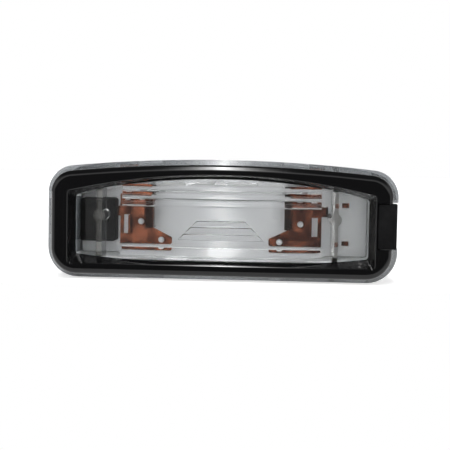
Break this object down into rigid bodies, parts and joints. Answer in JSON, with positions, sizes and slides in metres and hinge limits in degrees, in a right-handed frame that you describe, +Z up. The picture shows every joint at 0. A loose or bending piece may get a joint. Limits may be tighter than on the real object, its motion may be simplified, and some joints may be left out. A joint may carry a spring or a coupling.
{
  "type": "number plate lamp",
  "caption": "Long arched number plate lamp: clear ribbed lens in a glossy black ring, copper festoon bulb contacts on a pale back cap, plug socket behind.",
  "frame": {"origin": "middle of the flange's back face, which lies on the body panel", "axes": "+X along the lamp, +Y out of the flange's back face into the panel's opening, +Z up across the lamp towards its arched edge; the lens looks along -Y"},
  "size_m": [0.096, 0.0295, 0.0329],
  "materials": {
    "clear_plastic": "clear moulded polycarbonate, polished",
    "gloss_black": "moulded ABS, high gloss",
    "pale_plastic": "moulded polycarbonate blend, satin",
    "silicone": "silicone rubber, matt",
    "copper": "stamped copper strip, slightly tarnished",
    "matte_black": "moulded nylon, fine grain"
  },
  "bodies": {
    "root": {"lens": "clear_plastic", "bezel": "gloss_black", "carrier": "pale_plastic", "seal": "silicone", "left_contact": "copper", "right_contact": "copper", "return_strip": "copper", "connector_shell": "matte_black", "latch": "matte_black"}
  },
  "joints": []
}
